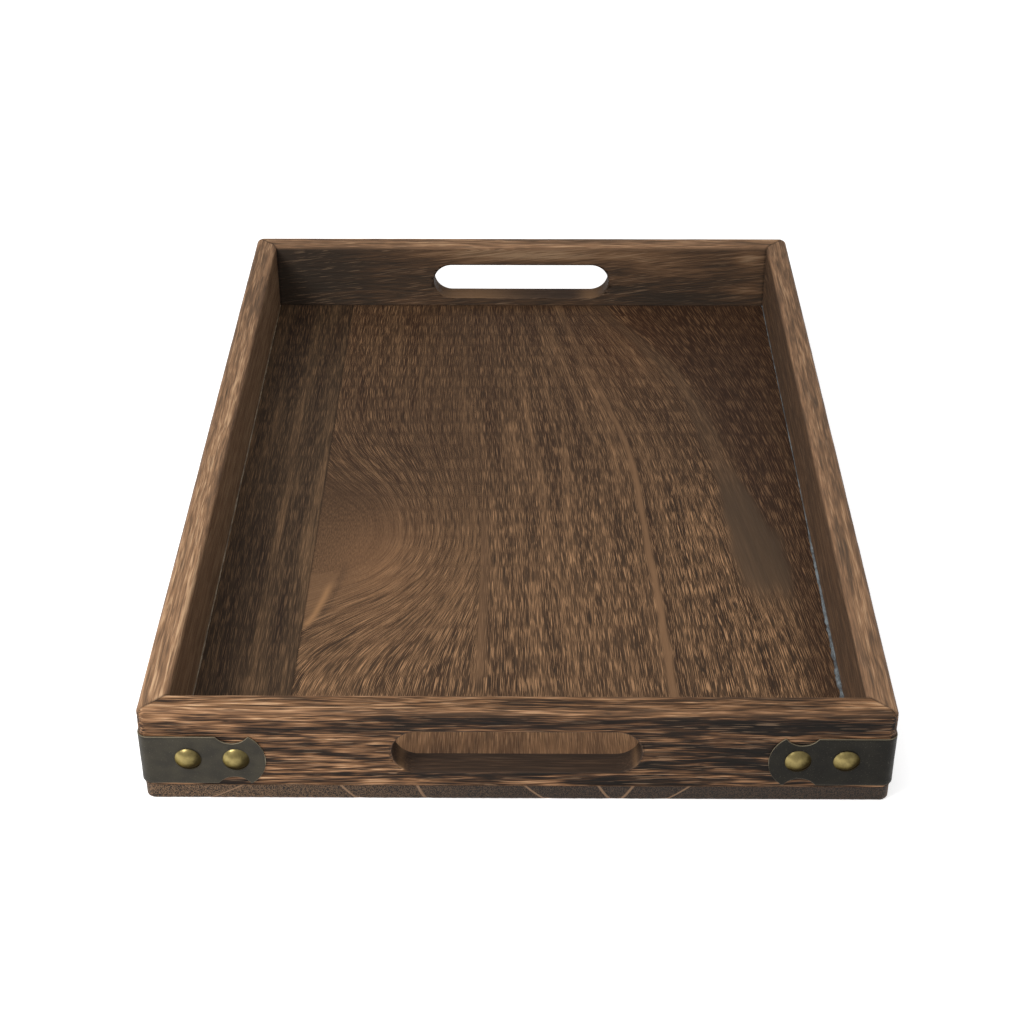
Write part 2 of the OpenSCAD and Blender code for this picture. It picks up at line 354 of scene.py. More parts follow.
def make_rail(node, span, reach, turn, style, wood_seed, slot_z=None):
    """A rail made along X with its outer face towards -Y, then turned about Z by turn degrees."""
    name = node + "_brushed"
    mesh = new_mesh(name, *rail_blank(span, reach))
    if slot_z:
        mesh = cut(mesh, *slot_cutter(reach, slot_z))
        shade_smooth(mesh)
    p, n = points_of(mesh), normals_of(mesh)
    x, depth, height = p[:, 0], p[:, 1] + reach, p[:, 2]
    ridge = rail_relief(x, depth, height, style)
    calm = 1 - style.upper_calm * smooth(TRAY_H - 13, TRAY_H - 8, height)
    in_slot = 0 * x
    if slot_z:
        from_slot = np.hypot(np.clip(abs(x) - (SLOT_W - SLOT_H) / 2, 0, None), height - slot_z)
        in_slot = smooth(SLOT_H / 2 + 0.8, SLOT_H / 2 + 0.1, from_slot)
    calm = calm * (1 - 0.9 * in_slot)
    hidden = height < BASE_T + 0.01
    seam = np.clip(half_path(np.clip(depth, 0, WALL_T), span) - abs(x) - 0.3, 0, None)
    in_bend = (abs(x) > span / 2 - CORNER_R) & (depth < CORNER_R)
    diagonal = abs((span / 2 - abs(x)) - depth) / math.sqrt(2)
    seam = np.where(in_bend, diagonal, np.minimum(seam, diagonal))
    groove = SEAM_GROOVE * np.exp(-(seam / 0.35) ** 2)
    face = np.where(depth > WALL_T / 2, 0.6, 1.0)
    drop = style.relief * calm * face * (1 - ridge) + groove
    p = p - n * np.where(hidden, 0, drop)[:, None]
    on_inner = smooth(WALL_T - 1.5, WALL_T - 0.2, depth) * smooth(TRAY_H - 0.5, TRAY_H - 3, height)
    tone = style.top_tone * smooth(TRAY_H - 2.5, TRAY_H - 0.3, height) + style.inner_tone * on_inner
    for side, patches in ((1 - on_inner, style.outer), (on_inner, style.inner)):
        for middle, spread, amount in patches:
            tone = tone + side * amount * bump_at(x, height, middle, spread)
    edge = np.exp(-((TRAY_H - height) / 1.6) ** 2) * np.maximum(
        np.exp(-(depth / 2.0) ** 2), np.exp(-((WALL_T - depth) / 2.0) ** 2))
    angle = math.radians(turn)
    c, s = math.cos(angle), math.sin(angle)
    turned = np.stack([c * p[:, 0] - s * p[:, 1], s * p[:, 0] + c * p[:, 1], p[:, 2]], 1)
    set_points(mesh, turned)
    lean = style.slant * np.clip(x, -150, 150) * on_inner
    contrast = style.contrast * (1 - 0.45 * on_inner)
    on_top = style.pale_top * smooth(TRAY_H - 3.5, TRAY_H - 1, height)
    bare = sum([bump_at(x, height, middle, spread) for middle, spread in style.in_slot], 0 * x)
    add_vectors(mesh, "grain", x, depth, height + lean)
    add_vectors(mesh, "place", contrast, on_top, bare)
    add_vectors(mesh, "look", ridge * calm + (1 - calm) * 0.6, tone, np.exp(-(seam / 0.45) ** 2))
    # The third number marks the inside of a handle slot, which the material darkens as painted shade.
    add_vectors(mesh, "edges_inner_slot", edge, on_inner, in_slot)
    add_piece(name, mesh, rail_material(node + "_wood", wood_seed), node)


# ---- base boards

# Growth lines on the base's front edge: across the tray at the underside and at the top.
RING_LINES = ((-127.9, -111.1), (-64.7, -72.2), (-37.2, -40.8), (12.3, 2.9),
              (38.5, 33.1), (42.2, 47.7), (59.8, 70.9))
FLOOR_STEP = 0.55       # mesh spacing across the floor
JOINT_GAP = 0.03        # from each board to the middle of the glue joint
SWIRL = (-98.0, -35.0)    # the grain of the wide board's left part turns round this point
SWIRL_REACH = 90.0

# Lines of grain down the wide board, each x at the y stations, front to back.
STATIONS = (-216, -150, -90, -30, 30, 90, 150, 216)
GUIDES = (
    (-98,) * 8,
    (-22, -21, -20, -20, -23, -27, -30, -32),
    (5, 3, 1, -1, -4, -9, -13, -16),
    (31, 28, 25, 21, 19, 14, 7, 0),
    (72, 67, 65, 61, 59, 47, 33, 20),
    (131, 127, 120, 112, 103, 92, 73, 38),
    (165, 160, 152, 146, 140, 132, 120, 105),
)
BAND = GUIDES[4][0]     # the light growth band


def soft_line(y, stations, line):
    """A line through stations, with its corners rounded off."""
    return np.mean([np.interp(y + shift, stations, line) for shift in range(-30, 31, 10)], axis=0)


def grain_across(x, y):
    """Which line of grain a point of the floor is on, named by its x at the front edge."""
    stations = np.array([soft_line(y, STATIONS, line) for line in GUIDES])
    names = np.array([line[0] for line in GUIDES], float)
    names[0] = JOINT_X
    result = np.array(x, float)
    for k in range(len(names) - 1):
        low, high = stations[k], stations[k + 1]
        inside = (x >= low) & (x <= high) if k else x <= high
        share = (x - low) / (high - low)
        result = np.where(inside & (x > JOINT_X), names[k] + share * (names[k + 1] - names[k]), result)
    result = np.where(x > stations[-1], names[-1] + x - stations[-1], result)
    return result


def swirl_slope(x, y):
    """Sideways lean of the grain round the swirl, in mm for each mm along the board."""
    dx, dy = np.maximum(x - SWIRL[0], 4.0), y - SWIRL[1]
    lean = np.clip(-dy / dx, -2, 2) * np.exp(-(np.hypot(dx, dy) / SWIRL_REACH) ** 3)
    return np.where(dy > 0, 0.45 * lean, lean)


def swirl_across(x, y):
    """Follows the leaning grain down to the front edge and gives the x where it gets there."""
    steps = 70
    run = (y + TRAY_L / 2) / steps
    at_x, at_y = np.array(x, float), np.array(y, float)
    for _ in range(steps):
        half_x = at_x - swirl_slope(at_x, at_y) * run / 2
        at_x = at_x - swirl_slope(half_x, at_y - run / 2) * run
        at_y = at_y - run
    return at_x


def base_columns(from_x, to_x, outer):
    """Positions across a board: fine where the floor shows, and round its outer edge."""
    inner_wall = TRAY_W / 2 - WALL_T
    edge = np.array([0, 0.15, 0.5, 1.1, 1.9, 2.8, 3.6, 4.6, 6.0, 8.0, 10.0])
    if outer < 0:
        shown = spaced(-inner_wall - 1, to_x, FLOOR_STEP)
        return np.concatenate([from_x + edge, shown])
    shown = spaced(from_x, inner_wall + 1, FLOOR_STEP)
    return np.concatenate([shown, (to_x - edge)[::-1]])


def rounding(distance):
    """Height of the bottom's rounding at a distance in from the edge."""
    d = np.clip(distance, 0, BASE_EDGE_R)
    return BASE_EDGE_R - np.sqrt(BASE_EDGE_R ** 2 - (BASE_EDGE_R - d) ** 2)


def base_blank(from_x, to_x, outer):
    """A board from from_x to to_x. Its outer edge is to the left (-1) or to the right (1)."""
    columns = []
    edge_in = BASE_EDGE_R * (1 - np.cos(np.radians(np.linspace(0, 90, 7))))
    for x in base_columns(from_x, to_x, outer):
        side = abs((from_x if outer < 0 else to_x) - x)
        notch = CORNER_R - math.sqrt(CORNER_R ** 2 - (CORNER_R - min(side, CORNER_R)) ** 2)
        reach = BASE_HIGH[1] - notch
        floor_y = TRAY_L / 2 - WALL_T + 1
        top = np.concatenate([[-reach], spaced(-floor_y, floor_y, 3.0), [reach]])
        down = spaced(BASE_T, BASE_EDGE_R, 0.8)[1:]
        raised = rounding(side)
        under_z = np.maximum(rounding(edge_in[1:]), raised)
        bottom = np.linspace(reach - BASE_EDGE_R - 9, -(reach - BASE_EDGE_R - 9), 31)
        sides = ((top, 0 * top + BASE_T), (0 * down + reach, down), (reach - edge_in[1:], under_z),
                 (bottom, 0 * bottom + raised), (-reach + edge_in[:0:-1], under_z[::-1]),
                 (0 * down - reach, down[::-1]))
        loop = np.concatenate([np.stack(side_points, 1) for side_points in sides])
        columns.append(np.stack([0 * loop[:, 0] + x, loop[:, 0], loop[:, 1]], 1))
    return stitched(columns)


def wide_zones(x, y, across, noise):
    """How the wide board's floor varies: flecks, tone, warmth and calm, then its three smooth bands."""
    in_swirl = smooth(-18, -20, across)
    fleck = 0.62 + 0.38 * smooth(60, -60, y)
    tone, warm = 0.1 + 0 * x, 0.5 + 0 * x
    glow = bump_at(x, y, (-64, -62), (27, 48)) * in_swirl
    still = bump_at(x, y, (-80, -36), (24, 34)) * in_swirl
    tone += 0.7 * glow - 0.35 * bump_at(x, y, (-75, 20), (40, 40)) * in_swirl
    tone -= 0.2 * bump_at(x, y, (-70, 90), (40, 90))
    warm += 0.5 * glow
    fleck += 0.25 * glow - 0.55 * still
    tone -= 0.2 * smooth(-21, -15, across) * smooth(8, 2, across)
    coarse = smooth(80, 86, across) * smooth(133, 122, across)
    fleck += 0.3 * coarse * smooth(60, -20, y)
    tone -= 0.1 * coarse
    edge_x = np.interp(y, (-216, -80, 0, 40, 116, 156, 216), (131, 126, 112, 104, 92, 75, 50))
    beyond = smooth(-3, 5, x - edge_x)
    tone -= (1.1 + 0.1 * smooth(-60, 0, y)) * beyond
    # Painted light falloff: darker towards the back, and more so at the back on the left.
    tone -= 0.5 * smooth(120, 205, y) + 0.3 * smooth(-60, 90, y)
    tone -= 0.2 * smooth(40, -100, x) * smooth(0, 120, y)
    fleck = fleck * (1 - 0.45 * beyond)
    warm += 0.4 * bump_at(x, y, (55, 150), (25, 50))
    ragged = 3.0 * noise.layers(x / 6, y / 16, 5.0)
    middle = soft_line(y, (-216, -80, -60, -30, 0, 39, 80, 116, 156, 200),
                       (119, 117, 116, 113, 107, 101, 95, 88, 70, 42))
    width = np.interp(y, (-100, -75, -35, 0, 40, 216), (8, 11, 11, 7, 4.5, 4))
    band = smooth(1.35, 0.75, abs(x - middle + ragged) / width) * smooth(-100, -66, y + 2 * ragged)
    band = band * (0.35 + 0.65 * smooth(40, -10, y))
    streak = np.exp(-((across - BAND + 0.25 * ragged) / 1.7) ** 4) * (1 - 0.75 * smooth(20, 150, y))
    shade = np.exp(-((across - BAND - 4.0) / 1.5) ** 2) * smooth(130, -20, y)
    pale = np.exp(-((across + 17.0) / 2.6) ** 4) * smooth(-160, -130, y) * smooth(0, -30, y)
    tone -= 0.6 * shade
    calm = np.clip(1 - 0.95 * band - 0.85 * streak - 0.6 * pale - 0.85 * still, 0.04, 1)
    return fleck, tone, warm, calm, band, streak, pale


def lens(x, y):
    """The pale lens of grain that the glue joint cuts in half, and the dark line round it."""
    low, high = -111.0, -66.0
    right = JOINT_X + 14 * np.sqrt(np.clip((y - low) / (high - low), 0, 1))
    within = smooth(low, low + 4, y) * smooth(high + 2, high - 3, y)
    inside = within * smooth(-0.4, 1.2, right - x)
    crescent = np.exp(-((right - x - 2.4) / 1.5) ** 2) * within * smooth(-70, -84, y)
    line = np.exp(-((x - right - 1.6) / 1.4) ** 2)
    line = line * smooth(low - 4, low + 2, y) * smooth(high + 12, high, y)
    return inside, crescent, line


def make_board(node, from_x, to_x, outer, material, seed):
    name = node + "_grain"
    mesh = new_mesh(name, *base_blank(from_x, to_x, outer))
    p, n = points_of(mesh), normals_of(mesh)
    x, y, z = p.T
    noise = Noise(seed)
    if outer > 0:
        across = grain_across(x, y)
        fleck, tone, warm, calm, band, streak, pale = wide_zones(x, y, across, noise)
        across = np.where(across < -19, swirl_across(x, y), across)
        inside, crescent, line = lens(x, y)
    else:
        across = x + 1.5 * noise.at(y / 120, 4.0)
        fleck, warm, calm = 0.3 + 0 * x, 0.2 + 0 * x, 1 + 0 * x
        # The narrow board is darker all over; the darker strip along the left rail is painted shadow of
        # that rail, and the darkening towards the back is painted light falloff.
        tone = -0.3 - 0.45 * bump_at(x, y, (-131, -110), (9, 90)) - 0.45 * smooth(20, 180, y)
        band = streak = pale = inside = crescent = line = 0 * x
    ring = noise.layers(across / 0.8, y / 12, 2.0, octaves=2)
    under = (z < BASE_EDGE_R + 0.01) & (abs(n[:, 1]) < 0.5)
    ridge = np.where(under, 0.5, smooth(-0.8, 0.7, ring))
    across = np.where(under, x + 2.0 * noise.at(y / 120, 8.0), across)
    fleck, tone, warm, calm = (np.where(under, plain, value) for plain, value in
                               zip((0.35, 0.0, 0.4, 1.0), (fleck, tone, warm, calm)))
    band, streak, pale, inside, crescent, line = (
        np.where(under, 0.0, value) for value in (band, streak, pale, inside, crescent, line))
    top = (z > BASE_T - 0.01) & (abs(y) < TRAY_L / 2 - WALL_T + 2)
    end = smooth(0.5, 0.8, abs(n[:, 1])) * (z < BASE_T - 0.01)
    steady = np.exp(-(np.hypot(x - SWIRL[0], (y - SWIRL[1]) * 0.7) / 40) ** 4) * (outer > 0) * ~under
    drop = np.where(top, 0.1 * calm * fleck * (1 - steady) * (1 - ridge) + 0.04 * line, 0)
    joint = abs(x - JOINT_X)
    drop += np.where(top, 0.08 * np.exp(-(joint / 0.35) ** 2), 0)
    lower = smooth(BASE_T, 1.5, z) * (abs(n[:, 1]) > 0.3) * (abs(y) > TRAY_L / 2 - 8)
    chips = 0 * x
    for bottom_x, _ in RING_LINES:
        chips = np.maximum(chips, np.exp(-((x - bottom_x) / 1.3) ** 2))
    drop += lower * (0.5 * chips + 0.09 * (1 + noise.layers(x / 0.9, z / 0.9, y / 30)))
    p = p - n * drop[:, None]
    set_points(mesh, p)
    add_vectors(mesh, "grain", across, y, z)
    add_vectors(mesh, "look", ridge, end, np.exp(-(joint / 0.4) ** 2) * top)
    add_vectors(mesh, "zones", fleck * calm, tone, warm)
    add_vectors(mesh, "bands", band, streak, pale)
    add_values(mesh, "steady", steady)
    add_vectors(mesh, "lens", inside, crescent, line)
    add_piece(name, mesh, material, node)


# ---- straps and nails

STRAP_T = 0.6           # thickness
STRAP_LEG = 51.0        # from the outside corner to the tip
STRAP_END_AT, STRAP_END_R = 36.3, 14.7                  # the round end
SCOOP_AT, SCOOP_R, SCOOP_DEPTH = 37.8, 8.0, 3.4         # the hollow in each long edge


def strap_half_height(x, half):
    """Half the strap's height at a distance from the outside corner."""
    reach = half
    if x > STRAP_END_AT:
        reach = min(reach, math.sqrt(max(STRAP_END_R ** 2 - (x - STRAP_END_AT) ** 2, 0)))
    if abs(x - SCOOP_AT) < SCOOP_R:
        reach = min(reach, half - SCOOP_DEPTH + SCOOP_R - math.sqrt(SCOOP_R ** 2 - (x - SCOOP_AT) ** 2))
    return max(reach, 0.35)


def corner_point(s, out):
    """Place in a corner's frame, at a distance round the bend from its middle and out from the wood."""
    along = abs(s) - HALF_BEND
    if along > 0:
        x, y = CORNER_R + along, -out
    else:
        angle = math.radians(225) + abs(s) / CORNER_R
        r = CORNER_R + out
        x, y = CORNER_R + r * math.cos(angle), CORNER_R + r * math.sin(angle)
    return (x, y) if s >= 0 else (y, x)


def at_corner(points, side_x, side_y):
    """Moves points from a corner's frame, whose x and y run inwards along the walls, to the tray's."""
    p = np.asarray(points, float)
    return np.stack([side_x * (TRAY_W / 2 - p[:, 0]), side_y * (TRAY_L / 2 - p[:, 1]), p[:, 2]], 1)


def make_strap(side_x, side_y, label, material):
    """A strap bent round one corner, with soft edges that a number called rub marks, for rubbed wear and
    a painted edge highlight.
    """
    node = "corner_strap_" + label
    low, high = box_mm(node)
    middle, half = (low[2] + high[2]) / 2, (high[2] - low[2]) / 2
    notch = math.sqrt(SCOOP_R ** 2 - (SCOOP_R - SCOOP_DEPTH) ** 2)
    shoulder = STRAP_END_AT + math.sqrt(STRAP_END_R ** 2 - half ** 2)
    last = STRAP_LEG - 0.04
    flat = np.concatenate([
        spaced(CORNER_R, SCOOP_AT - notch, 1.6), spaced(SCOOP_AT - notch, SCOOP_AT + notch, 0.4)[1:],
        last - (last - shoulder) * np.cos(np.linspace(0, math.pi / 2, 16))])
    stations = flat - CORNER_R + HALF_BEND
    bend = spaced(-HALF_BEND, HALF_BEND, 0.7)[1:-1]
    noise = Noise(200 + 7 * side_x + 3 * side_y)
    columns, rub_and_highlight = [], []
    for s in np.concatenate([-stations[::-1], bend, stations]):
        x = abs(s) - HALF_BEND + CORNER_R
        h = strap_half_height(x, half)
        r = min(0.22, h / 3)
        thin = STRAP_T - 0.3 * smooth(STRAP_LEG - 0.35, STRAP_LEG, x) ** 2
        rows = np.linspace(-h + r, h - r, 17)
        waves = 0.05 * (1 + noise.at(s / 9 + 50, rows / 6))
        outer = [(thin - 0.16, -h), (thin - 0.05, -h + 0.3 * r)]
        outer += list(zip(thin - 0.01 - waves * (1 - (rows / h) ** 4), rows))
        outer += [(thin - 0.05, h - 0.3 * r), (thin - 0.16, h)]
        loop = [(0.0, -h)] + outer + [(0.0, h)]
        column = []
        for out, z in loop:
            px, py = corner_point(s, out)
            column.append((px, py, middle + z))
            near = min(h - abs(z), max(STRAP_LEG - x, 0))
            rub_and_highlight.append(math.exp(-near / 0.18))
        columns.append(np.array(column))
    points, faces = stitched(columns)
    mesh = new_mesh(node + "_bent", at_corner(points, side_x, side_y), faces)
    add_values(mesh, "rub_and_highlight", np.array(rub_and_highlight))
    add_piece(node + "_bent", mesh, material, node)


NAIL_PITCH, NAIL_RISE = 19.5, 12.6      # from the corner and between nails; above the strap's lower edge
NAIL_SIDES = 40
DOME_D, DOME_H = 11.0, 2.5
DOME_ROWS = 13          # rows of the profile that are on the dome and take its dents
HEAD_ROWS = 17          # rows of the profile that can be seen


def nail_profile():
    """Outline of a domed nail: distance from its axis and height above the strap."""
    r = DOME_D / 2
    ball = (r ** 2 + DOME_H ** 2) / (2 * DOME_H)
    full = math.asin((r - 0.12) / ball)
    dome = [(ball * math.sin(a), DOME_H - 0.03 - ball * (1 - math.cos(a)))
            for a in np.linspace(0, full, 15)]
    rim = [(r - 0.02, 0.02), (r - 0.12, -0.04), (r - 0.5, 0.02)]
    under = [((ball - 0.5) * math.sin(a), DOME_H - 0.5 - (ball - 0.5) * (1 - math.cos(a)))
             for a in np.linspace(full - 0.12, 0.2, 7)]
    return dome + rim + under + [(1.0, 1.6), (1.0, -6.2), (0.45, -7.8), (0.02, -8.7)]


def make_nails(side_x, side_y, label, material, random):
    """The four nails of one corner, two through each leg of its strap, each a little dented and askew."""
    node = "strap_nails_" + label
    height = box_mm("corner_strap_" + label)[0][2] + NAIL_RISE
    profile = nail_profile()
    rows = len(profile)
    points, faces, rim, painted_shade_side = [], [], [], []
    noise = Noise(400 + 11 * side_x + 5 * side_y)
    for wall in (0, 1):
        for k in (1, 2):
            lean_a, lean_b = random.uniform(-0.05, 0.05, 2)
            dent = random.uniform(0, 50)
            first = len(points)
            for i, (r, h) in enumerate(profile):
                for j in range(NAIL_SIDES):
                    angle = 2 * math.pi * j / NAIL_SIDES
                    u, v = r * math.cos(angle), r * math.sin(angle)
                    dented = i < DOME_ROWS and r > 0.01
                    sunk = 0.045 * (1 + noise.at(u / 1.8 + dent, v / 1.8)) if dented else 0.04
                    out = STRAP_T + h - float(sunk) + lean_a * u + lean_b * v
                    x, y = k * NAIL_PITCH + u, -min(out, STRAP_T + DOME_H - 0.01)
                    points.append((x, y, height + v) if wall == 0 else (y, x, height + v))
                    rim.append(r / (DOME_D / 2) if i < HEAD_ROWS else 1.0)
                    # Painted shade: grows towards the lower side of a dome and, on the front and back
                    # rails, towards its right.
                    painted_shade_side.append((-0.85 * v - (0.5 * side_x * u if wall == 0 else 0)) / (DOME_D / 2))
            faces += tube_faces(first, rows, NAIL_SIDES, flip=wall == 1)
            tip = [first + (rows - 1) * NAIL_SIDES + j for j in range(NAIL_SIDES)]
            faces.append(tuple(tip) if wall == 0 else tuple(tip[::-1]))
    mesh = new_mesh(node + "_domed", at_corner(points, side_x, side_y), faces)
    add_values(mesh, "rim", np.array(rim))
    add_values(mesh, "painted_shade_side", np.array(painted_shade_side))
    add_piece(node + "_domed", mesh, material, node)


# ---- glue and filler

def make_bead(name, side, widths, material, seed):
    """Glue squeezed out along a long rail: widths are (y, width) pairs."""
    noise = Noise(seed)
    wall = TRAY_W / 2 - WALL_T
    columns = []
    for y in spaced(-TRAY_L / 2 + WALL_T + 0.4, TRAY_L / 2 - WALL_T - 0.4, 0.8):
        width = np.interp(y, *zip(*widths)) * (1 + 0.45 * float(noise.layers(y / 2.6, 0.0, octaves=2)))
        angles = np.linspace(0, math.pi / 2, 7)
        x = np.concatenate([[wall + 0.3], wall - width * np.sin(angles), [wall - width, wall + 0.3]])
        z = np.concatenate([[BASE_T + 0.8 * width], BASE_T + 0.75 * width * np.cos(angles) ** 0.8,
                            [BASE_T - 0.25, BASE_T - 0.25]])
        columns.append(np.stack([side * x, 0 * x + y, z], 1))
    add_piece(name, new_mesh(name, *stitched(columns)), material)


PLUG_SIDES = 20
PLUG_RINGS = ((0.0, 0.16), (0.5, 0.12), (0.85, 0.05), (1.0, 0.02), (1.12, 0.09))    # radius, height


def make_plugs(material):
    """Wood filler over the brads on the underside."""
    points, faces, places = [], [], []
    for node in ("base_brads_front", "base_brads_back", "base_brads_left", "base_brads_right"):
        co = points_of(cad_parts[node].data)
        head = co[co[:, 2] < co[:, 2].min() + 0.01]
        for place in np.unique(np.round(head[:, :2] / 20), axis=0) * 20:
            near = head[np.hypot(*(head[:, :2] - place).T) < 15]
            places.append(near[:, :2].mean(0))
    noise = Noise(77)
    for cx, cy in places:
        first = len(points)
        for r, dish in PLUG_RINGS:
            for j in range(PLUG_SIDES):
                angle = 2 * math.pi * j / PLUG_SIDES
                grow = 1 + 0.12 * float(noise.at(cx, math.cos(angle), math.sin(angle)))
                points.append((cx + r * grow * math.cos(angle), cy + r * grow * math.sin(angle), dish))
        faces += tube_faces(first, len(PLUG_RINGS), PLUG_SIDES, flip=True)
    add_piece("filler_plugs", new_mesh("filler_plugs", points, faces), material)


# ---- materials

def arithmetic(operation, swapped=False):
    """A method that works out an operation with a Math node."""
    def work_out(self, other):
        return self.shader.math(operation, *((other, self) if swapped else (self, other)))
    return work_out


class Field:
    """A number, vector or colour that a material's nodes work out, with ordinary arithmetic."""

    def __init__(self, shader, socket):
        self.shader, self.socket = shader, socket

    __add__, __radd__ = arithmetic("ADD"), arithmetic("ADD", swapped=True)
    __sub__, __rsub__ = arithmetic("SUBTRACT"), arithmetic("SUBTRACT", swapped=True)
    __mul__, __rmul__ = arithmetic("MULTIPLY"), arithmetic("MULTIPLY", swapped=True)
    __truediv__ = arithmetic("DIVIDE")


class Shader:
    """Makes one material's nodes."""

    def __init__(self, name):
        self.material = bpy.data.materials.new(name)
        self.material.use_nodes = True
        self.tree = self.material.node_tree
        self.surface = self.tree.nodes["Principled BSDF"]

    def node(self, kind, inputs=(), **settings):
        made = self.tree.nodes.new(kind)
        for key, value in settings.items():
            setattr(made, key, value)
        for key, value in dict(inputs).items():
            self.feed(made.inputs[key], value)
        return made

    def feed(self, socket, value):
        if isinstance(value, Field):
            self.tree.links.new(value.socket, socket)
        else:
            socket.default_value = value

    def out(self, node, key=0):
        return Field(self, node.outputs[key])

    def math(self, operation, a, b=0.0):
        return self.out(self.node("ShaderNodeMath", {0: a, 1: b}, operation=operation))

    def number(self, name):
        """A number kept for each vertex."""
        return self.out(self.node("ShaderNodeAttribute", attribute_name=name), "Fac")

    def attribute(self, name):
        """The three parts of a vector kept for each vertex."""
        read = self.node("ShaderNodeAttribute", attribute_name=name, attribute_type="GEOMETRY")
        parts = self.node("ShaderNodeSeparateXYZ", {0: self.out(read, "Vector")})
        return [self.out(parts, k) for k in range(3)]

    def position(self):
        """The place on the tray, in millimetres."""
        place = self.node("ShaderNodeTexCoord")
        parts = self.node("ShaderNodeSeparateXYZ", {0: self.out(place, "Object")})
        return [self.out(parts, k) / MM for k in range(3)]

    def vector(self, x, y, z=0.0):
        return self.out(self.node("ShaderNodeCombineXYZ", {0: x, 1: y, 2: z}))

    def noise(self, x, y, z=0.0, detail=2.0, rough=0.5):
        """Noise from about 0 to 1 over coordinates in units of one lump."""
        made = self.node("ShaderNodeTexNoise", {
            "Vector": self.vector(x, y, z), "Scale": 1.0, "Detail": detail, "Roughness": rough})
        return self.out(made, 0)

    def cells(self, x, y, z=0.0):
        made = self.node("ShaderNodeTexVoronoi", {"Vector": self.vector(x, y, z), "Scale": 1.0})
        return self.out(made, "Distance")

    def step(self, value, low, high, to_low=0.0, to_high=1.0):
        """A soft step from to_low at low to to_high at high."""
        made = self.node("ShaderNodeMapRange", {
            "Value": value, "From Min": low, "From Max": high, "To Min": to_low, "To Max": to_high},
            interpolation_type="SMOOTHSTEP")
        return self.out(made, 0)

    def mix(self, share, a, b):
        made = self.node("ShaderNodeMix", data_type="RGBA")
        sockets = [s for s in made.inputs if s.enabled]
        for socket, value in zip(sockets, (share, a, b)):
            self.feed(socket, value)
        return Field(self, [s for s in made.outputs if s.enabled][0])

    def paint(self, colour, *layers):
        """The colour with layers over it, each a (share, colour) pair."""
        for share, over in layers:
            colour = self.mix(share, colour, over)
        return colour

    def ramp(self, value, *stops):
        """A colour ramp: stops are (place, colour)."""
        made = self.node("ShaderNodeValToRGB", {0: value})
        elements = made.color_ramp.elements
        while len(elements) < len(stops):
            elements.new(0.5)
        for element, (place, tint) in zip(elements, stops):
            element.position, element.color = place, tint
        return self.out(made, 0)

    def bump(self, height, distance, strength=1.0):
        made = self.node("ShaderNodeBump", {"Strength": strength, "Distance": distance, "Height": height})
        self.tree.links.new(made.outputs[0], self.surface.inputs["Normal"])

    def finish(self, colour=None, roughness=None, **fixed):
        if colour is not None:
            self.feed(self.surface.inputs["Base Color"], colour)
        if roughness is not None:
            self.feed(self.surface.inputs["Roughness"], roughness)
        for name, value in fixed.items():
            self.surface.inputs[name.replace("_", " ")].default_value = value
        return self.material


def tint(red, green, blue):
    """A colour given as it looks on screen, 0 to 255, for a surface lit evenly."""
    def linear(c):
        c /= 255
        return c / 12.92 if c <= 0.04045 else ((c + 0.055) / 1.055) ** 2.4
    return (linear(red), linear(green), linear(blue), 1.0)


def rail_material(name, seed):
    """Brushed, torched wood: light ridges, charred grooves and short pores along the rail."""
    s = Shader(name)
    x, depth, height = s.attribute("grain")
    ridge, tone, seam = s.attribute("look")
    edge, inner, in_slot = s.attribute("edges_inner_slot")
    warp = s.noise(x / 60, seed, 0.0) * 3.0
    a, b = depth + warp, height + warp
    broad = s.noise(x / 80, a / 5.0, b / 5.0 + seed, detail=2.0)
    middle = s.noise(x / 22, a / 0.8, b / 0.8 + seed, detail=2.0, rough=0.6)
    lines = s.noise(x / 16, a / 0.36, b / 0.36 + seed, detail=1.0)
    dashes = s.noise(x / 15, a / 0.55, b / 0.55 + seed, detail=1.0)
    contrast, on_top, bare = s.attribute("place")
    cracks = s.noise(x / 48, a / 1.25 + 40, b / 1.25 + seed, detail=1.0)
    crack = s.step(s.math("ABSOLUTE", cracks - 0.5), 0.035, 0.008) * s.step(broad, 0.62, 0.45)
    grain = (ridge - 0.5) * 0.65 + (middle - 0.5) * 1.3 + (broad - 0.5) * 0.7 + (lines - 0.5) * 1.1
    level = 0.43 + grain * contrast + tone * 0.3
    colour = s.ramp(level, (0.0, tint(17, 11, 6)), (0.26, tint(44, 29, 18)), (0.5, tint(96, 66, 42)),
                    (0.74, tint(150, 110, 76)), (1.0, tint(214, 174, 134)))
    colour = s.paint(
        colour,
        (s.step(dashes, 0.41, 0.33) * contrast * 0.8, tint(24, 17, 13)),
        (crack * contrast * (1.0 - on_top * 0.6) * 0.8, tint(24, 17, 12)),
        (inner * 0.5, tint(80, 70, 61)),
        (on_top * 0.3, tint(138, 116, 96)),
        (s.step(dashes, 0.62, 0.70) * 0.2, tint(205, 168, 134)),
        # Paler along the rounded top edges.
        (edge * 0.25, tint(150, 114, 86)),
        # Painted shade: the inside of a handle slot is darkened.
        (in_slot * 0.85, tint(58, 45, 36)),
        (in_slot * bare * 0.75, tint(134, 102, 72)),
        (seam * 0.45, tint(30, 23, 19)))
    s.bump(ridge * 0.2 + middle * 0.4 + lines * 0.6 + s.step(dashes, 0.32, 0.42) * 0.35, 0.00025, 0.7)
    return s.finish(colour, s.step(level, 0.2, 0.8, 0.75, 0.55), Specular_IOR_Level=0.18)


